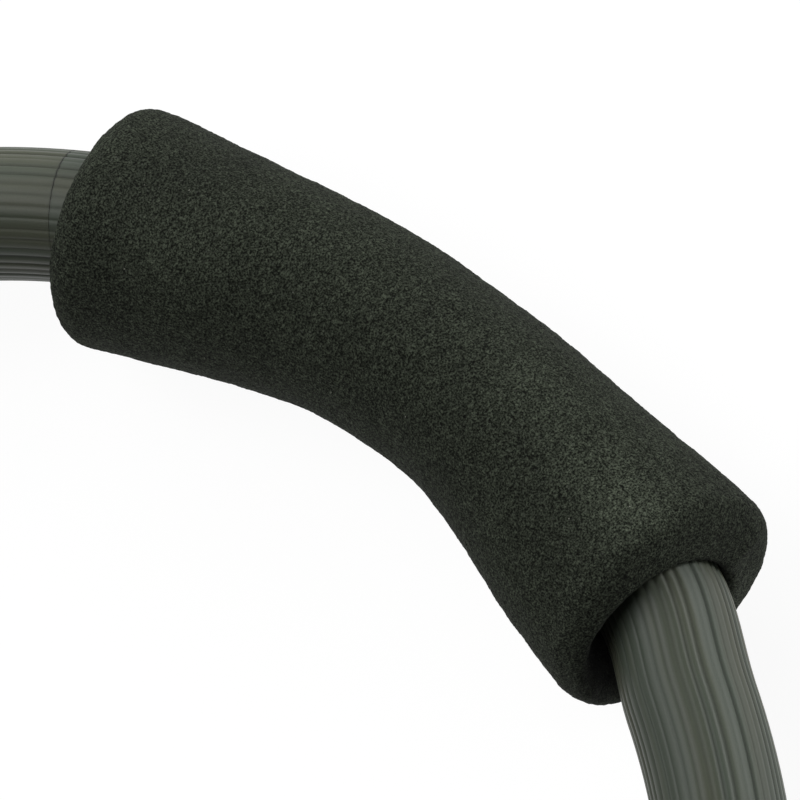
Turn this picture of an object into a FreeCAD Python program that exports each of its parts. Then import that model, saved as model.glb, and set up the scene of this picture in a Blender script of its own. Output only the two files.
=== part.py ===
import FreeCAD, Part

import bisect
import math
import os

import Sketcher
from FreeCAD import Placement, Rotation, Vector

# A resistance ring for exercise: an oval ribbed rubber hose, closed to a circle round two glass-fibre strips,
# with two foam grips on opposite sides.
#
# The ring lies flat. Its axis is +Z, its grips are on +X and -X, and the origin is on the floor under its
# centre. Lengths are in millimetres and angles in degrees, counted from +X.

OUT = "parts"
Z_AXIS = Vector(0, 0, 1)
ORIGIN = Vector(0, 0, 0)

# The driving dimensions, in the order in which the sheet lists them.
DIMENSIONS = {
    # the hoop
    "ring_radius": 168.0,  # of the circle through the middle of the hose's section
    "ring_height": 30.1,  # of that circle above the floor, with the grips' ends on the floor
    "hose_half_thick": 14.0,  # across the hose in the ring's plane
    "hose_half_width": 18.0,  # across the hose along the ring's axis
    "hose_wall": 3.0,
    "rib_count": 40,
    "rib_groove_depth": 0.5,
    "rib_groove_width": 1.0,
    "seam_gap_angle": 0.08,
    "seam_angle": 29.3,
    # the sleeve inside the hose where its two ends meet
    "sleeve_clearance": 0.3,
    "sleeve_wall": 1.2,
    "sleeve_arc": 14.0,
    # the two glass-fibre strips, one inside the other
    "strip_thick": 1.8,
    "strip_width": 25.0,
    "strip_spacing": 0.2,
    "strip_end_gap_angle": 1.0,
    # the clips that hold the strips in the middle of the hose
    "spacer_arc": 2.5,
    "spacer_slot_clearance": 0.3,
    # the steel plates and rivets that close each strip
    "plate_arc": 22.0,
    "plate_width": 18.0,
    "plate_thick": 1.2,
    "plate_clearance": 0.3,
    "rivet_radius": 2.0,
    "rivet_head_radius": 3.6,
    "rivet_head_height": 1.6,
    "rivet_head_gap": 0.08,
    "rivet_hole_clearance": 0.3,
    "rivet_plate_clearance": 0.05,
    "rivet_angle": 6.0,
    "rivet_height": 5.0,
    # the foam grips
    "grip_bore_clearance": 0.3,
    "grip_end_rounding": 6.5,
    "grip_bore_rounding": 3.0,
}

# The foam grip's sections from one end to the other. A straight foam sleeve that is pushed over a curved hose
# stays straighter than the hose: its middle shifts inwards and thins, and its ends stay thick. One end flares.
# angle: the section's place on the ring. shift: its centre, outside the ring's circle. turn: of its plane
# about +Z, past the angle. half_thick and half_width: half its size across and along the ring's axis.
GRIP_SECTIONS = (
    {"angle": 27.3, "shift": -1.0, "turn": -12.2, "half_thick": 26.5, "half_width": 30.0},
    {"angle": 22.0, "shift": -2.3, "turn": -5.4, "half_thick": 25.6, "half_width": 30.0},
    {"angle": 16.0, "shift": -3.8, "turn": -1.5, "half_thick": 23.8, "half_width": 29.5},
    {"angle": 8.0, "shift": -3.4, "turn": 1.5, "half_thick": 22.1, "half_width": 28.9},
    {"angle": -1.0, "shift": -2.9, "turn": 0.7, "half_thick": 21.3, "half_width": 28.6},
    {"angle": -9.5, "shift": -2.4, "turn": 0.7, "half_thick": 22.3, "half_width": 28.9},
    {"angle": -16.5, "shift": -2.0, "turn": 4.0, "half_thick": 25.1, "half_width": 29.6},
    {"angle": -22.2, "shift": 0.2, "turn": 10.5, "half_thick": 27.2, "half_width": 30.0},
    {"angle": -27.7, "shift": 4.1, "turn": 18.4, "half_thick": 28.3, "half_width": 30.0},
)
SECTION_LETTERS = "abcdefghi"

# Where the clips sit on the ring, clear of both splices and of the hose's joint.
SPACER_ANGLES = (55, 80, 105, 130, 155, 205, 230, 255, 280, 305)

# The middle of each grip.
GRIPS = {"a": 0.0, "b": 180.0}


# ---------------------------------------------------------------- the sheet


def make_sheet(doc):
    """The spreadsheet of driving dimensions: one alias for each, with a plain number."""
    values = dict(DIMENSIONS)
    for letter, section in zip(SECTION_LETTERS, GRIP_SECTIONS):
        for key, number in section.items():
            values["grip_%s_%s" % (key, letter)] = number
    sheet = doc.addObject("Spreadsheet::Sheet", "Dimensions")
    for row, (alias, number) in enumerate(values.items(), 1):
        sheet.set("A%d" % row, alias)
        sheet.set("B%d" % row, str(number))
        sheet.setAlias("B%d" % row, alias)
    doc.recompute()


def value(name):
    """One dimension, read from the sheet."""
    return FreeCAD.ActiveDocument.getObject("Dimensions").get(name)


def bound(formula):
    """(number, expression) of a formula in the sheet's names, such as "ring_radius - strip_thick"."""
    words = formula.replace("(", " ( ").replace(")", " ) ").split()
    expression = " ".join("Dimensions." + w if w[0].isalpha() else w for w in words)
    numbers = " ".join(repr(value(w)) if w[0].isalpha() else w for w in words)
    return FreeCAD.Units.parseQuantity(numbers).Value, expression


# ---------------------------------------------------------------- helpers for bodies and sketches


def origin_plane(body, role):
    return next(f for f in body.Origin.OriginFeatures if f.Role == role)


def place(item, turn):
    """Puts a sub-part at the ring's height, turned about the ring's axis."""
    item.Placement = Placement(Vector(0, 0, value("ring_height")), Rotation(Z_AXIS, turn))


def new_body(doc, label, turn=0.0):
    body = doc.addObject("PartDesign::Body", label)
    body.Label = label
    place(body, turn)
    body.setExpression("Placement.Base.z", "Dimensions.ring_height")
    return body


def attached_sketch(body, name, role, angle):
    """A sketch on a plane through the ring's axis. Its y is the height."""
    sketch = body.newObject("Sketcher::SketchObject", name)
    sketch.AttachmentSupport = [(origin_plane(body, role), "")]
    sketch.MapMode = "FlatFace"
    sketch.AttachmentOffset = Placement(ORIGIN, Rotation(Vector(0, 1, 0), angle))
    return sketch


def section_sketch(body, name, angle=0.0):
    """A sketch whose x is the distance from the ring's axis."""
    return attached_sketch(body, name, "XZ_Plane", angle)


def constrain(sketch, *constraint, expression=None):
    """Adds a constraint and binds it to the sheet."""
    index = sketch.addConstraint(Sketcher.Constraint(*constraint))
    if expression:
        sketch.setExpression("Constraints[%d]" % index, expression)


def add_oval(sketch, middle, half_x, half_y):
    """An ellipse, taller than it is wide, round a point of the sketch's x axis, from formulas."""
    middle, half_x, half_y = bound(middle), bound(half_x), bound(half_y)
    centre = Vector(middle[0], 0, 0)
    top, side = centre + Vector(0, half_y[0], 0), centre + Vector(half_x[0], 0, 0)
    oval = sketch.addGeometry(Part.Ellipse(top, side, centre), False)
    sketch.exposeInternalGeometry(oval)
    long_axis, short_axis = oval + 1, oval + 2
    constrain(sketch, "Vertical", long_axis)
    constrain(sketch, "PointOnObject", oval, 3, -1)
    if middle[0]:
        constrain(sketch, "DistanceX", -1, 1, oval, 3, middle[0], expression=middle[1])
    else:
        constrain(sketch, "PointOnObject", oval, 3, -2)
    constrain(sketch, "Distance", long_axis, 2 * half_y[0], expression="2 * (%s)" % half_y[1])
    constrain(sketch, "Distance", short_axis, 2 * half_x[0], expression="2 * (%s)" % half_x[1])


def add_rectangle(sketch, inner, outer, height):
    """A rectangle from inner to outer, symmetric about the sketch's x axis, from formulas."""
    inner, outer, height = bound(inner), bound(outer), bound(height)
    low, high = -height[0] / 2, height[0] / 2
    corners = (
        Vector(inner[0], low, 0),
        Vector(outer[0], low, 0),
        Vector(outer[0], high, 0),
        Vector(inner[0], high, 0),
    )
    for start, end in zip(corners, corners[1:] + corners[:1]):
        sketch.addGeometry(Part.LineSegment(start, end), False)
    for line in range(4):
        constrain(sketch, "Coincident", line, 2, (line + 1) % 4, 1)
    constrain(sketch, "Horizontal", 0)
    constrain(sketch, "Horizontal", 2)
    constrain(sketch, "Vertical", 1)
    constrain(sketch, "Symmetric", 0, 1, 3, 1, -1)
    constrain(sketch, "DistanceX", -1, 1, 0, 1, inner[0], expression=inner[1])
    constrain(sketch, "DistanceX", -1, 1, 0, 2, outer[0], expression=outer[1])
    constrain(sketch, "DistanceY", 1, 1, 1, 2, height[0], expression=height[1])


def revolve(doc, body, name, sketch, angle, midplane=False):
    """Turns the sketch about the ring's axis through an angle given as a formula."""
    feature = body.newObject("PartDesign::Revolution", name)
    feature.Profile = sketch
    feature.ReferenceAxis = (sketch, ["V_Axis"])
    feature.Midplane = midplane
    feature.setExpression("Angle", bound(angle)[1])
    doc.recompute()
    return feature


def cut_checked(doc, body, feature):
    """Recomputes a new cut, and stops the build if it took nothing away."""
    before = feature.BaseFeature.Shape.Volume
    doc.recompute()
    if not feature.Shape.Volume < before - 1:
        raise RuntimeError("%s: %s cut nothing" % (body.Label, feature.Label))
    return feature


def groove(doc, body, name, sketch):
    """Cuts the sketch, turned all the way about the ring's axis, out of the body."""
    feature = body.newObject("PartDesign::Groove", name)
    feature.Profile = sketch
    feature.ReferenceAxis = (sketch, ["V_Axis"])
    feature.Angle = 360
    return cut_checked(doc, body, feature)


def round_edges(doc, body, base, wires, radius):
    """Rounds the edges of the given wires of a feature. radius is a name in the sheet."""
    rims = [edge for wire in wires for edge in wire.Edges]
    names = []
    for number, edge in enumerate(base.Shape.Edges, 1):
        if any(edge.isSame(rim) for rim in rims):
            names.append("Edge%d" % number)
    feature = body.newObject("PartDesign::Fillet", radius)
    feature.Base = (base, names)
    feature.setExpression("Radius", "Dimensions." + radius)
    doc.recompute()
    return feature


def flat_faces(shape):
    return [face for face in shape.Faces if isinstance(face.Surface, Part.Plane)]


def plain_feature(doc, label, shapes, turn=0.0):
    """A sub-part of several loose solids, made with Part's own functions."""
    feature = doc.addObject("Part::Feature", label)
    feature.Label = label
    feature.Shape = Part.makeCompound(shapes)
    place(feature, turn)
    return feature


# ---------------------------------------------------------------- the hoop


def oval_angle_finder(half_x, half_y):
    """A function from a share of an ellipse's length to the ellipse's parameter there."""
    steps = 20000
    lengths = [0.0]
    for k in range(steps):
        angle = 2 * math.pi * (k + 0.5) / steps
        lengths.append(lengths[-1] + math.hypot(half_x * math.sin(angle), half_y * math.cos(angle)))
    return lambda share: 2 * math.pi * bisect.bisect_left(lengths, share % 1 * lengths[-1]) / steps


def groove_corner(angle, depth):
    """A point of the hose's section at that depth under the hose's surface, as two formulas."""
    out = "ring_radius + ( hose_half_thick - %s ) * %.9f" % (depth, math.cos(angle))
    up = "( hose_half_width - %s ) * %.9f" % (depth, math.sin(angle))
    return bound(out), bound(up)


def add_rib_grooves(doc, body):
    """V-shaped grooves all along the hose. The lands between them are its ribs."""
    half_x, half_y = value("hose_half_thick"), value("hose_half_width")
    angle_at = oval_angle_finder(half_x, half_y)
    count = int(value("rib_count"))
    # The V is drawn half its depth past the surface, so it is half as wide again there.
    reach = 0.75 * value("rib_groove_width") / (math.pi * (half_x + half_y))
    sketch = section_sketch(body, "rib_groove_section")
    for rib in range(count):
        corners = [
            groove_corner(angle_at(rib / count), "rib_groove_depth"),
            groove_corner(angle_at(rib / count + reach), "rib_groove_depth * -0.5"),
            groove_corner(angle_at(rib / count - reach), "rib_groove_depth * -0.5"),
        ]
        points = [Vector(out[0], up[0], 0) for out, up in corners]
        for k in range(3):
            sketch.addGeometry(Part.LineSegment(points[k], points[(k + 1) % 3]), False)
        for k in range(3):
            line = 3 * rib + k
            out, up = corners[k]
            constrain(sketch, "Coincident", line, 2, 3 * rib + (k + 1) % 3, 1)
            constrain(sketch, "DistanceX", -1, 1, line, 1, out[0], expression=out[1])
            constrain(sketch, "DistanceY", -1, 1, line, 1, up[0], expression=up[1])
    return groove(doc, body, "rib_grooves", sketch)


def ribbed_hose(doc):
    """The oval hose in one length. Its two ends meet at the seam, just outside a grip."""
    body = new_body(doc, "ribbed_hose")
    body.setExpression("Placement.Rotation.Angle", "Dimensions.seam_angle")
    sketch = section_sketch(body, "hose_section")
    add_oval(sketch, "ring_radius", "hose_half_thick", "hose_half_width")
    add_oval(sketch, "ring_radius", "hose_half_thick - hose_wall", "hose_half_width - hose_wall")
    revolve(doc, body, "hose_sweep", sketch, "360 - seam_gap_angle")
    add_rib_grooves(doc, body)
    return body


def hose_joint_sleeve(doc):
    """The oval tube inside the hose that both of the hose's ends are glued to."""
    body = new_body(doc, "hose_joint_sleeve")
    body.setExpression("Placement.Rotation.Angle", "Dimensions.seam_angle")
    sketch = section_sketch(body, "sleeve_section")
    for inset in ("hose_wall - sleeve_clearance", "hose_wall - sleeve_clearance - sleeve_wall"):
        add_oval(sketch, "ring_radius", "hose_half_thick - " + inset, "hose_half_width - " + inset)
    revolve(doc, body, "sleeve_sweep", sketch, "sleeve_arc", midplane=True)
    return body


def add_rivet_holes(doc, body, radius, middle):
    """Four radial holes through a strip or plate, for the rivets of the splice at the middle angle."""
    radius = bound(radius)
    for side in (-1, 1):
        turn = middle + side * value("rivet_angle")
        sketch = attached_sketch(body, "rivet_holes", "YZ_Plane", turn)
        for height in (-1, 1):
            up = bound("rivet_height * %d" % height)
            circle = sketch.addGeometry(Part.Circle(Vector(0, up[0], 0), Z_AXIS, radius[0]), False)
            constrain(sketch, "Radius", circle, radius[0], expression=radius[1])
            constrain(sketch, "PointOnObject", circle, 3, -2)
            constrain(sketch, "DistanceY", -1, 1, circle, 3, up[0], expression=up[1])
        pocket = body.newObject("PartDesign::Pocket", "rivet_pocket")
        pocket.Profile = sketch
        pocket.Reversed = True
        pocket.setExpression("Length", "2 * Dimensions.ring_radius")
        cut_checked(doc, body, pocket)


def core_strip(doc, label, inner, joint_angle):
    """A glass-fibre strip bent to a circle. Its two ends meet under a grip, at the joint's angle."""
    body = new_body(doc, label, joint_angle)
    sketch = section_sketch(body, "strip_section", value("strip_end_gap_angle") / 2)
    add_rectangle(sketch, inner, inner + " + strip_thick", "strip_width")
    revolve(doc, body, "strip_sweep", sketch, "360 - strip_end_gap_angle")
    for middle in GRIPS.values():
        add_rivet_holes(doc, body, "rivet_radius + rivet_hole_clearance", middle)
    return body


def core_spacers(doc):
    """Moulded clips with a slot for both strips, which hold them in the middle of the hose."""
    inset = value("hose_wall") + value("sleeve_clearance")
    half_x, half_y = value("hose_half_thick") - inset, value("hose_half_width") - inset
    room = value("spacer_slot_clearance")
    slot_x = 2 * value("strip_thick") + value("strip_spacing") + 2 * room
    slot_y = value("strip_width") + 2 * room
    middle = Vector(value("ring_radius"), 0, 0)
    outline = Part.Ellipse(middle + Vector(0, 0, half_y), middle + Vector(half_x, 0, 0), middle)
    corner = middle - Vector(slot_x / 2, 0, slot_y / 2)
    slot = Part.makePlane(slot_x, slot_y, corner, Vector(0, -1, 0), Vector(1, 0, 0))
    face = Part.Face(Part.Wire(outline.toShape())).cut(slot).Faces[0]
    clip = face.revolve(ORIGIN, Z_AXIS, value("spacer_arc"))
    starts = [angle - value("spacer_arc") / 2 for angle in SPACER_ANGLES]
    return plain_feature(doc, "core_spacers", [clip.rotated(ORIGIN, Z_AXIS, start) for start in starts])


# ---------------------------------------------------------------- the splices under the grips


def splice_plate(doc, label, inner, turn):
    """A curved steel plate on one side of the strips, with four rivet holes."""
    body = new_body(doc, label, turn)
    sketch = section_sketch(body, "plate_section")
    add_rectangle(sketch, inner, inner + " + plate_thick", "plate_width")
    revolve(doc, body, "plate_sweep", sketch, "plate_arc", midplane=True)
    add_rivet_holes(doc, body, "rivet_radius + rivet_plate_clearance", 0.0)
    return body


def rivet_shape():
    """A rivet along X with a domed head at each end, long enough for both plates and both strips."""
    face = value("strip_spacing") / 2 + value("strip_thick") + value("plate_clearance")
    face += value("plate_thick") + value("rivet_head_gap")
    height, shank, head = value("rivet_head_height"), value("rivet_radius"), value("rivet_head_radius")
    edges = []
    for side in (-1, 1):
        tip, rim = Vector(side * (face + height), 0, 0), Vector(side * face, head, 0)
        shoulder = Vector(side * face, shank, 0)
        on_dome = Vector(side * (face + 0.7 * height), 0.62 * head, 0)
        edges += [Part.Arc(tip, on_dome, rim), Part.LineSegment(rim, shoulder)]
    edges.append(Part.LineSegment(Vector(-face, shank, 0), Vector(face, shank, 0)))
    edges.append(Part.LineSegment(Vector(-face - height, 0, 0), Vector(face + height, 0, 0)))
    outline = Part.Wire(Part.__sortEdges__([edge.toShape() for edge in edges]))
    return Part.Face(outline).revolve(ORIGIN, Vector(1, 0, 0), 360)


def splice_rivets(doc, label, turn):
    """Four rivets through both plates and both strips."""
    rivets = []
    for side in (-1, 1):
        for height in (-1, 1):
            at = Vector(value("ring_radius"), 0, height * value("rivet_height"))
            rivets.append(rivet_shape().translated(at).rotated(ORIGIN, Z_AXIS, side * value("rivet_angle")))
    return plain_feature(doc, label, rivets, turn)


# ---------------------------------------------------------------- the foam grips


def grip_section(body, letter, section):
    """One section of a grip, as a sketch on a plane of its own."""
    plane = section["angle"] + section["turn"]
    sketch = section_sketch(body, "grip_section", plane)
    middle = "(Dimensions.ring_radius + Dimensions.grip_shift_%s)" % letter
    angle = "(Dimensions.grip_angle_%s * 1 deg)" % letter
    sketch.setExpression("AttachmentOffset.Base.x", "%s * cos%s" % (middle, angle))
    sketch.setExpression("AttachmentOffset.Base.z", "-%s * sin%s" % (middle, angle))
    add_oval(sketch, "0", "grip_half_thick_" + letter, "grip_half_width_" + letter)
    return sketch


def foam_grip(doc, label, turn):
    """A foam sleeve bent over the hose: a loft through its sections, bored along the hose, with round ends."""
    body = new_body(doc, label, turn)
    sections = [grip_section(body, *pair) for pair in zip(SECTION_LETTERS, GRIP_SECTIONS)]
    doc.recompute()
    loft = body.newObject("PartDesign::AdditiveLoft", "grip_loft")
    loft.Profile = sections[0]
    loft.Sections = sections[1:]
    doc.recompute()
    ends = [face.OuterWire for face in flat_faces(loft.Shape)]
    round_edges(doc, body, loft, ends, "grip_end_rounding")

    sketch = section_sketch(body, "grip_bore_section")
    around = "hose_half_thick + grip_bore_clearance"
    add_oval(sketch, "ring_radius", around, around.replace("thick", "width"))
    bore = groove(doc, body, "grip_bore", sketch)
    mouths = []
    for face in flat_faces(bore.Shape):
        mouths += [wire for wire in face.Wires if not wire.isSame(face.OuterWire)]
    round_edges(doc, body, bore, mouths, "grip_bore_rounding")
    return body


# ---------------------------------------------------------------- the whole ring


def build_hoop(doc):
    inside = "ring_radius - strip_spacing / 2 - strip_thick"
    outside = "ring_radius + strip_spacing / 2"
    return [
        ribbed_hose(doc),
        hose_joint_sleeve(doc),
        core_strip(doc, "core_strip_inner", inside, GRIPS["a"]),
        core_strip(doc, "core_strip_outer", outside, GRIPS["b"]),
        core_spacers(doc),
    ]


def build_grip(doc, side, turn):
    room = "strip_spacing / 2 + strip_thick + plate_clearance"
    inside = "ring_radius - ( %s + plate_thick )" % room
    return [
        splice_plate(doc, "splice_plate_inner_" + side, inside, turn),
        splice_plate(doc, "splice_plate_outer_" + side, "ring_radius + " + room, turn),
        splice_rivets(doc, "splice_rivets_" + side, turn),
        foam_grip(doc, "foam_grip_" + side, turn),
    ]


def check(doc, sub_parts):
    """Stops the build if any object failed or any sub-part is empty or invalid."""
    doc.recompute()
    for item in doc.Objects:
        if "Invalid" in item.State or "Error" in item.State:
            raise RuntimeError("%s: %s" % (item.Label, item.State))
    for item in sub_parts:
        if item.Shape.isNull() or not item.Shape.isValid() or not item.Shape.Solids:
            raise RuntimeError(item.Label + " has no valid solid")


def main():
    doc = FreeCAD.newDocument("resistance_ring")
    make_sheet(doc)
    sub_parts = build_hoop(doc)
    for side, turn in GRIPS.items():
        sub_parts += build_grip(doc, side, turn)
    check(doc, sub_parts)
    os.makedirs(OUT, exist_ok=True)
    for item in sub_parts:
        item.Shape.exportStep(os.path.join(OUT, item.Label + ".step"))
        print("%-22s %2d solids %10.1f mm3" % (item.Label, len(item.Shape.Solids), item.Shape.Volume))


main()
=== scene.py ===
import math

import bpy
import numpy as np
from mathutils import Matrix, Vector


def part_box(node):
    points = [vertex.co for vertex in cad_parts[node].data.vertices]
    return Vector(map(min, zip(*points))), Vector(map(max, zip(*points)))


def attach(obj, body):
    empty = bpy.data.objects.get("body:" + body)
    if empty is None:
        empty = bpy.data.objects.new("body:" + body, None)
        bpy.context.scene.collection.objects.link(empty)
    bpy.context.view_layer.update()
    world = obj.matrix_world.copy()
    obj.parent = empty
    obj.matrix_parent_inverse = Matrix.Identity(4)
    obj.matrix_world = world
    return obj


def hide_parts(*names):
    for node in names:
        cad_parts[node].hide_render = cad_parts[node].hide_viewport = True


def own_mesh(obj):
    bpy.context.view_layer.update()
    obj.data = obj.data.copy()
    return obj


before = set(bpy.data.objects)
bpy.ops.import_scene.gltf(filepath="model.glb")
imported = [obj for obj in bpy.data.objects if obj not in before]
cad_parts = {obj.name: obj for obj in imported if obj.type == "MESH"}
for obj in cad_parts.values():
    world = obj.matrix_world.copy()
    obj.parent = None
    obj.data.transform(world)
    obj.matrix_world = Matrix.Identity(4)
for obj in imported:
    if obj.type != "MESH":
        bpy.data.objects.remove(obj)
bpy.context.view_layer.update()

# An exercise ring: a ribbed rubber hose closed to a circle, with a foam grip on each side.
# Lengths are in metres. The ring's axis is +Z, and the grips are on +X and -X.

MM = 0.001

# ---------------------------------------------------------------- sizes, from the frame

hose_low, hose_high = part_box("ribbed_hose")
HEIGHT = (hose_low.z + hose_high.z) / 2  # of the ring's middle above the floor
HALF_WIDTH = (hose_high.z - hose_low.z) / 2  # of the hose, along the ring's axis
HALF_THICK = 14 * MM  # of the hose, in the ring's plane
RADIUS = (hose_high.y - hose_low.y) / 2 - HALF_THICK  # of the circle through the hose's middle
WALL = 3 * MM

CENTRE = Vector((0, 0, HEIGHT))

SEAM_ANGLE = math.radians(29.3)  # where the hose's two ends meet
SEAM_GAP = math.radians(0.03)
SEAM_SHADE = 0.35 * MM  # how far from each end of the hose the seam is dark

RIBS = 40
RIB_SEED = 7  # of the random depths and widths of the grooves
RIB_DEPTHS = (0.25, 1.25)  # the least and the most, as shares of the depth in RIB_OUTLINE
RIB_WIDTHS = (0.75, 1.30)  # the same, of the width
# Half a groove and half a land: share of the rib's pitch from the groove's middle, and depth in mm.
RIB_OUTLINE = ((0.0, 0.50), (0.09, 0.40), (0.20, 0.14), (0.32, 0.03), (0.50, 0.0))

HOSE_RINGS = 361  # sections of the hose's mesh
LIP_RINGS = 12  # closer sections at each end, to shape the seam
BORE_STEP = 4  # the bore's mesh has one point for this many outside
OVAL_STEPS = 20001  # in the sum that gives the length of an ellipse

LEAN = 2.4 * MM  # of the hose off its circle, beside each grip's flared end
LEAN_ANGLE = -26.0  # where it is greatest, in degrees
LEAN_SPREAD = 8.0  # how far it goes to each side, in degrees

GAPE = 5.0 * MM  # of the grip's mouths, on the ring's inner side
GAPE_DEPTH = 20 * MM
GAPE_REACH = 1.6  # how far out from the hose the foam is pushed, in sizes of the hose
SLANT = 0.22  # how much shorter the flared end is, per height above the ring's plane
SLANT_DEPTH = 30 * MM
MOUTH_DEPTH = 3 * MM  # how far inside the mouths the painted shade is at its darkest

VOXEL = 0.62 * MM  # of the foam's mesh
# Pale marks on the foam, painted highlight and rubbed wear together: strength, turn in degrees, distance
# outside the ring's circle, length, width.
PALE_RUB_AND_HIGHLIGHT = (
    (1.0, -23.0, 9 * MM, 12 * MM, 10 * MM),
    (0.35, -12.0, 9 * MM, 30 * MM, 9 * MM),
    (0.5, 26.0, 12 * MM, 6 * MM, 14 * MM),
    (0.6, 19.0, -8 * MM, 12 * MM, 9 * MM),
)

GRIPS = ("a", "b")
HOOP_INSIDE = ("hose_joint_sleeve", "core_strip_inner", "core_strip_outer", "core_spacers")
SPLICE = ("splice_plate_inner_", "splice_plate_outer_", "splice_rivets_")


# ---------------------------------------------------------------- node materials


class Shader:
    """A node material in the making. Most methods add a node and return its output."""

    def __init__(self, name):
        self.material = bpy.data.materials.new(name)
        self.material.use_nodes = True
        self.nodes = self.material.node_tree.nodes
        self.links = self.material.node_tree.links
        self.surface = self.nodes["Principled BSDF"]

    def add(self, kind, **settings):
        node = self.nodes.new(kind)
        for key, setting in settings.items():
            setattr(node, key, setting)
        return node

    def feed(self, socket, source):
        if hasattr(source, "is_output"):
            self.links.new(source, socket)
        else:
            socket.default_value = source

    def place(self, layer=None, stretch=(1, 1, 1)):
        """The point on the piece, in metres, or on one of its UV layers."""
        mapping = self.add("ShaderNodeMapping")
        if layer:
            self.feed(mapping.inputs["Vector"], self.add("ShaderNodeUVMap", uv_map=layer).outputs["UV"])
        else:
            point = self.add("ShaderNodeTexCoord").outputs["Object"]
            self.feed(mapping.inputs["Vector"], point)
        mapping.inputs["Scale"].default_value = stretch
        return mapping.outputs["Vector"]

    def noise(self, where, scale, detail=2.0, roughness=0.5):
        node = self.add("ShaderNodeTexNoise")
        self.feed(node.inputs["Vector"], where)
        node.inputs["Scale"].default_value = scale
        node.inputs["Detail"].default_value = detail
        node.inputs["Roughness"].default_value = roughness
        return node.outputs["Fac"]

    def cells(self, where, scale):
        """(distance from the nearest cell's middle, that cell's random grey)."""
        node = self.add("ShaderNodeTexVoronoi")
        self.feed(node.inputs["Vector"], where)
        node.inputs["Scale"].default_value = scale
        grey = self.add("ShaderNodeSeparateColor")
        self.feed(grey.inputs["Color"], node.outputs["Color"])
        return node.outputs["Distance"], grey.outputs["Red"]

    def span(self, source, low, high, out_low, out_high):
        """source, from low to high, becomes out_low to out_high, and stays within them."""
        node = self.add("ShaderNodeMapRange")
        sockets = ("From Min", "From Max", "To Min", "To Max")
        for socket, number in zip(sockets, (low, high, out_low, out_high)):
            node.inputs[socket].default_value = number
        self.feed(node.inputs["Value"], source)
        return node.outputs["Result"]

    def math(self, operation, a, b):
        node = self.add("ShaderNodeMath", operation=operation)
        self.feed(node.inputs[0], a)
        self.feed(node.inputs[1], b)
        return node.outputs["Value"]

    def mix(self, share, a, b):
        """Colour a turning into colour b as share goes from 0 to 1."""
        node = self.add("ShaderNodeMix", data_type="RGBA")
        self.feed(node.inputs["Factor"], share)
        self.feed(node.inputs[6], a)
        self.feed(node.inputs[7], b)
        return node.outputs[2]

    def shade(self, tone, *factors):
        """tone times each of the given grey factors."""
        tone = tone[:3] if isinstance(tone, tuple) else tone
        for factor in factors:
            node = self.add("ShaderNodeVectorMath", operation="SCALE")
            self.feed(node.inputs[0], tone)
            self.feed(node.inputs["Scale"], factor)
            tone = node.outputs["Vector"]
        return tone

    def attribute(self, name):
        return self.add("ShaderNodeAttribute", attribute_name=name).outputs["Fac"]

    def bump(self, height, distance, strength=1.0, under=None):
        node = self.add("ShaderNodeBump")
        self.feed(node.inputs["Height"], height)
        node.inputs["Distance"].default_value = distance
        node.inputs["Strength"].default_value = strength
        if under:
            self.feed(node.inputs["Normal"], under)
        return node.outputs["Normal"]

    def finish(self, colour, roughness, normal=None, **numbers):
        self.feed(self.surface.inputs["Base Color"], colour)
        self.feed(self.surface.inputs["Roughness"], roughness)
        if normal:
            self.feed(self.surface.inputs["Normal"], normal)
        for socket, number in numbers.items():
            self.surface.inputs[socket.replace("_", " ")].default_value = number
        return self.material


def colour(red, green, blue):
    return (red, green, blue, 1.0)


def foam_material():
    """Closed-cell foam rubber: matte black-green, with open pores and a little dust, painted highlight with
    rubbed wear on its pale patches, and painted shade in the mouths.
    """
    s = Shader("grip_foam")
    here = s.place()
    grain = s.noise(here, 2300, detail=2.0, roughness=0.70)
    crumbs = s.noise(here, 900, detail=2.0)
    pores, _ = s.cells(here, 1500)
    patches = s.noise(here, 28, detail=3.0)
    clouds = s.noise(here, 160, detail=2.0)
    tone = s.shade(
        colour(0.0172, 0.0203, 0.0146),
        s.span(grain, 0.40, 0.68, 0.20, 3.00),
        s.span(crumbs, 0.34, 0.70, 0.70, 1.40),
        s.span(pores, 0.05, 0.40, 0.62, 1.08),
        s.span(patches, 0.30, 0.70, 0.88, 1.12),
        s.span(clouds, 0.30, 0.70, 0.93, 1.07),
        # pale patches: painted highlight on the flare and along the ridge, with rubbed wear
        s.span(s.attribute("pale_rub_and_highlight"), 0.0, 1.0, 1.0, 1.70),
        # painted shade inside the grips' mouths
        s.span(s.attribute("mouth_shade"), 0.0, 1.0, 1.0, 0.25),
    )
    near, grey = s.cells(here, 1000)
    few = s.math("GREATER_THAN", grey, 0.80)
    glint = s.math("MULTIPLY", s.span(near, 0.12, 0.28, 1.0, 0.0), few)
    tone = s.mix(s.math("MULTIPLY", glint, 0.55), tone, colour(0.068, 0.074, 0.062))
    near, grey = s.cells(here, 420)
    very_few = s.math("GREATER_THAN", grey, 0.975)
    speck = s.math("MULTIPLY", s.math("LESS_THAN", near, 0.07), very_few)
    tone = s.mix(speck, tone, colour(0.16, 0.165, 0.14))
    rough = s.span(patches, 0.3, 0.7, 0.88, 0.98)
    pits = s.bump(s.span(pores, 0.02, 0.35, 0.0, 1.0), 0.22 * MM, 0.6)
    normal = s.bump(grain, 0.30 * MM, 0.70, under=pits)
    return s.finish(tone, rough, normal, Specular_IOR_Level=0.10)


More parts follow.
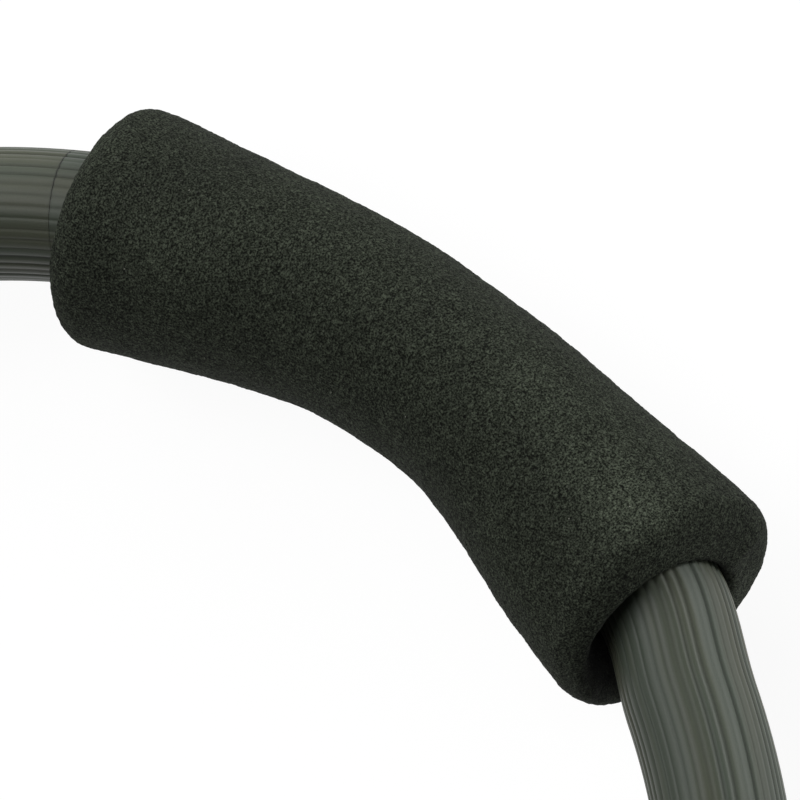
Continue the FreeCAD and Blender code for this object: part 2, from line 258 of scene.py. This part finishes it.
def hose_material():
    """Grey-green rubber: streaked along the ribs, with painted shade in the grooves, and painted light:
    paler on the ring's outer side, darker on its inner side.
    """
    s = Shader("hose_rubber")
    along = s.place("hose", (1, 1, 1))
    streaks = s.noise(s.place("hose", (6, 420, 1)), 1.0, detail=3.0)
    bands = s.noise(s.place("hose", (9, 110, 1)), 1.0, detail=2.0)
    grain = s.noise(along, 2400, detail=3.0, roughness=0.6)
    scuffs = s.noise(s.place("hose", (90, 2600, 1)), 1.0, detail=2.0)
    recess = s.attribute("recess")
    olive, slate = colour(0.059, 0.065, 0.043), colour(0.053, 0.066, 0.049)
    tone = s.mix(s.span(bands, 0.38, 0.62, 0.0, 1.0), olive, slate)
    tone = s.shade(
        tone,
        s.span(streaks, 0.30, 0.70, 0.91, 1.08),
        s.span(grain, 0.25, 0.75, 0.93, 1.07),
        # painted shade in the grooves
        s.span(recess, 0.10, 0.9, 1.0, 0.50),
        # painted light: paler on the ring's outer side, darker on its inner side
        s.span(s.attribute("outer"), -1.0, 1.0, 0.78, 1.22),
    )
    on_lands = s.span(recess, 0.0, 0.2, 1.0, 0.0)
    worn = s.math("MULTIPLY", s.span(scuffs, 0.60, 0.74, 0.0, 0.35), on_lands)
    tone = s.mix(worn, tone, colour(0.085, 0.091, 0.077))
    seam = s.span(s.attribute("seam"), 0.0, 1.0, 0.0, 0.7)
    tone = s.mix(seam, tone, colour(0.016, 0.018, 0.015))
    rough = s.span(s.math("ADD", streaks, recess), 0.3, 1.6, 0.42, 0.75)
    normal = s.bump(grain, 0.04 * MM, 0.5, under=s.bump(streaks, 0.10 * MM, 0.5))
    return s.finish(tone, rough, normal, Specular_IOR_Level=0.36)


def glass_fibre_material():
    """Glass fibre: pale straw resin with fine fibres."""
    s = Shader("glass_fibre")
    here = s.place()
    fibres = s.noise(s.place(stretch=(1, 1, 60)), 60, detail=4.0)
    clouds = s.noise(here, 90)
    dark, pale = colour(0.50, 0.47, 0.30), colour(0.72, 0.70, 0.54)
    tone = s.mix(s.span(fibres, 0.3, 0.7, 0, 1), dark, pale)
    tone = s.shade(tone, s.span(clouds, 0.3, 0.7, 0.85, 1.1))
    return s.finish(tone, s.span(fibres, 0.3, 0.7, 0.35, 0.6), s.bump(fibres, 0.05 * MM, 0.5))


def plastic_material(name, base, rough):
    """Moulded plastic with a fine grain and a few duller patches."""
    s = Shader(name)
    here = s.place()
    grain = s.noise(here, 1800, detail=3.0)
    patches = s.noise(here, 60)
    fine, broad = s.span(grain, 0.3, 0.7, 0.9, 1.1), s.span(patches, 0.3, 0.7, 0.9, 1.08)
    tone = s.shade(colour(*base), fine, broad)
    dull = s.span(patches, 0.3, 0.7, rough - 0.08, rough + 0.1)
    return s.finish(tone, dull, s.bump(grain, 0.05 * MM, 0.4))


def steel_material(name, base, stretch):
    """Cut steel with fine brush marks and faint stains."""
    s = Shader(name)
    brush = s.noise(s.place(stretch=stretch), 120, detail=4.0)
    stains = s.noise(s.place(), 150)
    marks, faint = s.span(brush, 0.3, 0.7, 0.88, 1.1), s.span(stains, 0.35, 0.65, 0.85, 1.05)
    tone = s.shade(colour(*base), marks, faint)
    rough = s.span(brush, 0.3, 0.7, 0.28, 0.48)
    return s.finish(tone, rough, s.bump(brush, 0.02 * MM, 0.4), Metallic=1.0)


# ---------------------------------------------------------------- meshes


def new_piece(name, vertices, faces):
    mesh = bpy.data.meshes.new(name)
    mesh.from_pydata(vertices, [], faces)
    mesh.update()
    piece = bpy.data.objects.new(name, mesh)
    bpy.context.scene.collection.objects.link(piece)
    return piece


def give(piece, material):
    piece.data.materials.clear()
    piece.data.materials.append(material)


def smooth(piece):
    piece.data.polygons.foreach_set("use_smooth", np.ones(len(piece.data.polygons), bool))


def float_attribute(piece, name, values):
    layer = piece.data.attributes.new(name, "FLOAT", "POINT")
    layer.data.foreach_set("value", np.asarray(values, np.float32))


def even_oval_angles(half_x, half_y, shares):
    """Parameters of an ellipse at the given shares of its length."""
    angles = np.linspace(0, 2 * math.pi, OVAL_STEPS)
    middle = (angles[1:] + angles[:-1]) / 2
    pieces = np.hypot(half_x * np.sin(middle), half_y * np.cos(middle))
    lengths = np.concatenate(([0], np.cumsum(pieces)))
    return np.interp(shares, lengths / lengths[-1], angles)


def hose_outline():
    """The outside of the hose's section: its points, how recessed each is, and how far round it is.

    A point is (x across, y along the ring's axis). The grooves are deepest at the ring's outer side, and
    shallowest above and below the ring.
    """
    draw = np.random.default_rng(RIB_SEED)
    side = np.cos(2 * math.pi * np.arange(RIBS) / RIBS)  # 1 on the ring's outer side, -1 on its inner side
    depths = draw.uniform(*RIB_DEPTHS, RIBS) * (0.62 + 0.38 * side**2) * (1 - 0.30 * np.clip(-side, 0, 1))
    widths = draw.uniform(*RIB_WIDTHS, RIBS)
    shares, recess = [], []
    for rib in range(RIBS):
        for share, depth in RIB_OUTLINE:
            wide = share if share == 0.5 else share * widths[rib]
            shares.append((rib + wide) / RIBS)
            recess.append(depth * depths[rib])
        after = (rib + 1) % RIBS
        for share, depth in RIB_OUTLINE[-2:0:-1]:
            shares.append((rib + 1 - share * widths[after]) / RIBS)
            recess.append(depth * depths[after])
    shares, recess = np.array(shares), np.array(recess)
    angles = even_oval_angles(HALF_THICK, HALF_WIDTH, shares)
    across, along = np.cos(angles), np.sin(angles)
    outward = np.stack((across * HALF_WIDTH, along * HALF_THICK), 1)
    outward /= np.linalg.norm(outward, axis=1, keepdims=True)
    points = np.stack((across * HALF_THICK, along * HALF_WIDTH), 1) - outward * recess[:, None] * MM
    return points, recess / recess.max(), shares


def lean(turns):
    """How far the hose stands outside the ring's circle: only near the flared end of each grip."""
    past = np.abs((np.degrees(turns) - LEAN_ANGLE + 90) % 180 - 90)
    return LEAN * np.cos(math.pi / 2 * np.clip(past / LEAN_SPREAD, 0, 1)) ** 2


def ring_points(section, turns):
    """Every point of a section (x across, y along the axis) at every turn about the ring's axis."""
    radius = RADIUS + section[None, :, 0] + lean(turns)[:, None]
    x, y = np.cos(turns)[:, None] * radius, np.sin(turns)[:, None] * radius
    z = np.tile(HEIGHT + section[:, 1], (len(turns), 1))
    return np.stack((x, y, z), 2).reshape(-1, 3)


def tube_faces(first, rings, count, inward):
    faces = []
    for ring in range(rings - 1):
        for k in range(count):
            a, b = first + ring * count + k, first + ring * count + (k + 1) % count
            quad = (a, a + count, b + count, b)
            faces.append(quad if inward else quad[::-1])
    return faces


def end_faces(outer, inner, count, step, flip):
    """Closes the wall at one end. outer and inner are the first points of its two loops."""
    faces = []
    for k in range(count // step):
        here, after = inner + k, inner + (k + 1) % (count // step)
        for q in range(step):
            faces.append((here, outer + k * step + q, outer + (k * step + q + 1) % count))
        faces.append((here, outer + (k + 1) * step % count, after))
    return [face[::-1] for face in faces] if flip else faces


def make_hose():
    """The ribbed hose with its wall and its two ends, which nearly touch at the seam."""
    outline, recess, shares = hose_outline()
    count, step = len(outline), BORE_STEP
    start, end = SEAM_ANGLE + SEAM_GAP / 2, SEAM_ANGLE + 2 * math.pi - SEAM_GAP / 2
    near = 1 - np.cos(np.linspace(0, math.pi / 2, LIP_RINGS + 1)[:-1])
    turns = np.linspace(start, end, HOSE_RINGS)
    lip = (turns[2] - turns[0]) * near / 2
    turns = np.concatenate((start + lip, turns[2:-2], (end - lip)[::-1]))
    rings = len(turns)
    outer = ring_points(outline, turns)
    angles = even_oval_angles(HALF_THICK - WALL, HALF_WIDTH - WALL, shares[::step])
    bore = np.stack((np.cos(angles) * (HALF_THICK - WALL), np.sin(angles) * (HALF_WIDTH - WALL)), 1)
    inner = ring_points(bore, turns)

    faces = tube_faces(0, rings, count, False)
    first_inner = rings * count
    faces += tube_faces(first_inner, rings, count // step, True)
    faces += end_faces(0, first_inner, count, step, False)
    last_outer, last_inner = (rings - 1) * count, first_inner + (rings - 1) * (count // step)
    faces += end_faces(last_outer, last_inner, count, step, True)
    piece = new_piece("hose_ribbed_visual", np.concatenate((outer, inner)).tolist(), faces)

    inside = np.zeros(len(inner))
    outer_side = outline[:, 0] / HALF_THICK  # 1 on the ring's outer side, -1 on its inner side
    from_end = np.minimum(turns - start, end - turns) * RADIUS
    seam = np.clip(1 - from_end / SEAM_SHADE, 0, 1)
    seam_opens = np.clip(0.75 + 1.5 * outer_side, 0, 1)  # the ends are pressed together inside the bend
    float_attribute(piece, "recess", np.concatenate((np.tile(recess, rings), inside)))
    float_attribute(piece, "seam", np.concatenate((np.outer(seam, seam_opens).ravel(), inside)))
    # painted light: lights the ring's outer side and shades its inner side in the colour
    float_attribute(piece, "outer", np.concatenate((np.tile(outer_side, rings), inside)))

    girth = math.pi * (HALF_THICK + HALF_WIDTH)
    u = np.concatenate((np.repeat(turns, count), np.repeat(turns, count // step))) * RADIUS
    v = np.concatenate((np.tile(shares, rings), np.tile(shares[::step], rings))) * girth
    corners = np.zeros(len(piece.data.loops), np.int64)
    piece.data.loops.foreach_get("vertex_index", corners)
    layer = piece.data.uv_layers.new(name="hose")
    layer.data.foreach_set("uv", np.stack((u[corners], v[corners]), 1).astype(np.float32).ravel())
    smooth(piece)
    return piece


def displacement(piece, name, size, strength):
    """A modifier that moves the surface in and out by a procedural pattern of the given size."""
    pattern = bpy.data.textures.new(name, "CLOUDS")
    pattern.noise_scale = size
    modifier = piece.modifiers.new(name, "DISPLACE")
    modifier.texture = pattern
    modifier.texture_coords = "LOCAL"
    modifier.strength = strength
    modifier.mid_level = 0.5


def end_plane(angle, turn, shift):
    """The plane of one end of grip a: a point on it, and its normal, which points off the grip."""
    heading = math.radians(angle + turn)
    middle = (RADIUS + shift) * np.array((math.cos(math.radians(angle)), math.sin(math.radians(angle))))
    return middle, math.copysign(1, angle) * np.array((-math.sin(heading), math.cos(heading)))


# The plain end and the flared end, as the CAD has them.
GRIP_ENDS = (end_plane(27.3, -12.2, -1.0 * MM), end_plane(-27.7, 18.4, 4.1 * MM))


def wear_grip(mesh, direction):
    """Shapes the ends of a grip's mesh, and marks its painted highlight, rubbed wear and painted shade.
    direction is 1 for a, -1 for b.

    Near the ends the bore stands off the hose, most on the ring's inner side, where bent foam pulls away.
    The flared end is cut on a slant, and is shorter above the hose than below it.
    """
    places = np.zeros(len(mesh.vertices) * 3)
    mesh.vertices.foreach_get("co", places)
    places = places.reshape(-1, 3)
    flat = places[:, :2] * direction
    turn, radius = np.arctan2(flat[:, 1], flat[:, 0]), np.hypot(flat[:, 0], flat[:, 1])
    across, along = radius - RADIUS, places[:, 2] - HEIGHT
    from_ends = [(middle - flat) @ normal for middle, normal in GRIP_ENDS]

    round_hose = np.hypot(across / HALF_THICK, along / HALF_WIDTH)
    open_side = np.clip(0.45 - 0.75 * across / HALF_THICK, 0, 1)
    near_bore = np.clip((GAPE_REACH - round_hose) / (GAPE_REACH - 1), 0, 1)
    near_end = np.clip(1 - np.minimum(*from_ends) / GAPE_DEPTH, 0, 1) ** 1.5
    gape = GAPE * near_end * near_bore * open_side / round_hose
    slant = SLANT * np.clip(along, 0, None) * np.clip(1 - from_ends[1] / SLANT_DEPTH, 0, 1) ** 2

    # Pale patches, painted highlight and rubbed wear together, only on the faces above and below the ring's
    # plane.
    pale_rub_and_highlight = np.zeros(len(places))
    for strength, mark_turn, mark_across, length, width in PALE_RUB_AND_HIGHLIGHT:
        off_round = (turn - math.radians(mark_turn)) * RADIUS / length
        off_across = (across - mark_across) / width
        pale_rub_and_highlight += strength * np.exp(-(off_round**2) - off_across**2)
    pale_rub_and_highlight *= np.clip(np.abs(along) / (0.6 * HALF_WIDTH) - 0.2, 0, 1)
    # Painted shade inside the mouths, darkest from MOUTH_DEPTH in.
    mouth_shade = np.clip((1.25 - round_hose) / 0.15, 0, 1) * np.clip(np.minimum(*from_ends) / MOUTH_DEPTH, 0, 1)

    outwards = gape * across / HALF_THICK + lean(turn) * near_bore
    flat += flat * (outwards / radius)[:, None] - slant[:, None] * GRIP_ENDS[1][1]
    places[:, :2] = flat * direction
    places[:, 2] += gape * along / HALF_WIDTH
    mesh.vertices.foreach_set("co", places.ravel())
    for name, marks in (("pale_rub_and_highlight", pale_rub_and_highlight), ("mouth_shade", mouth_shade)):
        layer = mesh.attributes.new(name, "FLOAT", "POINT")
        layer.data.foreach_set("value", marks.astype(np.float32))


def make_grip(side):
    """A foam grip: the CAD solid with an even fine mesh, slightly uneven as cut foam is."""
    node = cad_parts["foam_grip_" + side]
    piece = bpy.data.objects.new("grip_foam_" + side + "_visual", node.data.copy())
    bpy.context.scene.collection.objects.link(piece)
    remesh = piece.modifiers.new("even_mesh", "REMESH")
    remesh.mode = "VOXEL"
    remesh.voxel_size = VOXEL
    relax = piece.modifiers.new("relax", "SMOOTH")
    relax.factor, relax.iterations = 0.5, 3
    displacement(piece, "hand_dents_" + side, 22 * MM, 0.8 * MM)
    displacement(piece, "uneven_" + side, 5 * MM, 0.28 * MM)
    displacement(piece, "cells_" + side, 1.2 * MM, 0.45 * MM)
    graph = bpy.context.evaluated_depsgraph_get()
    mesh = bpy.data.meshes.new_from_object(piece.evaluated_get(graph))
    piece.modifiers.clear()
    wear_grip(mesh, 1 if side == "a" else -1)
    piece.data = mesh
    smooth(piece)
    return piece


# ---------------------------------------------------------------- the ring


def squeeze(piece):
    """Gives the piece its own copy of its mesh."""
    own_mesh(piece)


def build_hoop():
    hose = make_hose()
    give(hose, hose_material())
    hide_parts("ribbed_hose")
    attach(hose, "hoop")
    squeeze(hose)
    fibre = glass_fibre_material()
    finishes = {
        "hose_joint_sleeve": plastic_material("clear_plastic", (0.55, 0.56, 0.52), 0.35),
        "core_strip_inner": fibre,
        "core_strip_outer": fibre,
        "core_spacers": plastic_material("clip_plastic", (0.035, 0.036, 0.038), 0.45),
    }
    for name in HOOP_INSIDE:
        give(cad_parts[name], finishes[name])
        squeeze(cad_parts[name])


def build_grips():
    foam = foam_material()
    plate = steel_material("plate_steel", (0.55, 0.55, 0.54), (1, 1, 30))
    rivet = steel_material("rivet_steel", (0.60, 0.60, 0.58), (8, 8, 8))
    for side, direction in zip(GRIPS, (1, -1)):
        grip = make_grip(side)
        give(grip, foam)
        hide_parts("foam_grip_" + side)
        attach(grip, "grip_" + side)
        squeeze(grip)
        for name in SPLICE:
            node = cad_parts[name + side]
            give(node, rivet if "rivets" in name else plate)
            squeeze(node)


# ---------------------------------------------------------------- floor, light and camera


def build_floor():
    """A white table, lit from below as well, so that shadows on it stay faint."""
    half = 40.0
    corners = [(-half, -half, 0), (half, -half, 0), (half, half, 0), (-half, half, 0)]
    floor = new_piece("floor", corners, [(0, 1, 2, 3)])
    s = Shader("floor_white")
    s.surface.inputs["Emission Color"].default_value = colour(1, 1, 1)
    s.surface.inputs["Emission Strength"].default_value = 0.93
    give(floor, s.finish(colour(0.1, 0.1, 0.1), 0.9, Specular_IOR_Level=0.0))


def add_sun(name, towards, energy, softness):
    """A broad even light. towards is the direction in which it is seen from the ring."""
    light = bpy.data.lights.new(name, "SUN")
    light.energy = energy
    light.angle = math.radians(softness)
    sun = bpy.data.objects.new(name, light)
    sun.rotation_mode = "QUATERNION"
    sun.rotation_quaternion = Vector(towards).to_track_quat("Z", "Y")
    bpy.context.scene.collection.objects.link(sun)


def build_light():
    add_sun("key", (0.88, -0.42, 0.22), 1.5, 30)
    add_sun("far_corner", (0.60, 0.54, 0.55), 0.80, 35)
    add_sun("far_side", (0.10, 0.57, 0.82), 0.75, 40)
    add_sun("overhead", (-0.33, 0.38, 0.86), 1.45, 50)
    world = bpy.data.worlds.new("studio")
    bpy.context.scene.world = world
    world.use_nodes = True
    world.node_tree.nodes["Background"].inputs["Color"].default_value = colour(1.0, 1.0, 1.0)
    world.node_tree.nodes["Background"].inputs["Strength"].default_value = 0.05
    bpy.context.scene.view_settings.view_transform = "Standard"


def build_camera():
    """A long lens, high over the ring, rolled so that grip a lies across the picture's diagonal."""
    azimuth, elevation, roll = math.radians(-6.91), math.radians(70.55), math.radians(46.92)
    distance = 3.372
    aim = CENTRE + Vector((0.1555, -0.0015, 0))
    back = Vector((
        math.sin(azimuth) * math.cos(elevation),
        -math.cos(azimuth) * math.cos(elevation),
        math.sin(elevation),
    ))
    level_right = Vector((math.cos(azimuth), math.sin(azimuth), 0))
    level_up = back.cross(level_right)
    up = level_up * math.cos(roll) + level_right * math.sin(roll)
    right = up.cross(back)
    lens = bpy.data.cameras.new("camera")
    lens.lens, lens.sensor_width = 720, 36
    lens.clip_start, lens.clip_end = 0.1, 200
    camera = bpy.data.objects.new("camera", lens)
    turned = Matrix((right, up, back)).transposed().to_4x4()
    camera.matrix_world = Matrix.Translation(aim + back * distance) @ turned
    bpy.context.scene.collection.objects.link(camera)
    bpy.context.scene.camera = camera


build_camera()
build_light()
build_floor()
build_hoop()
build_grips()
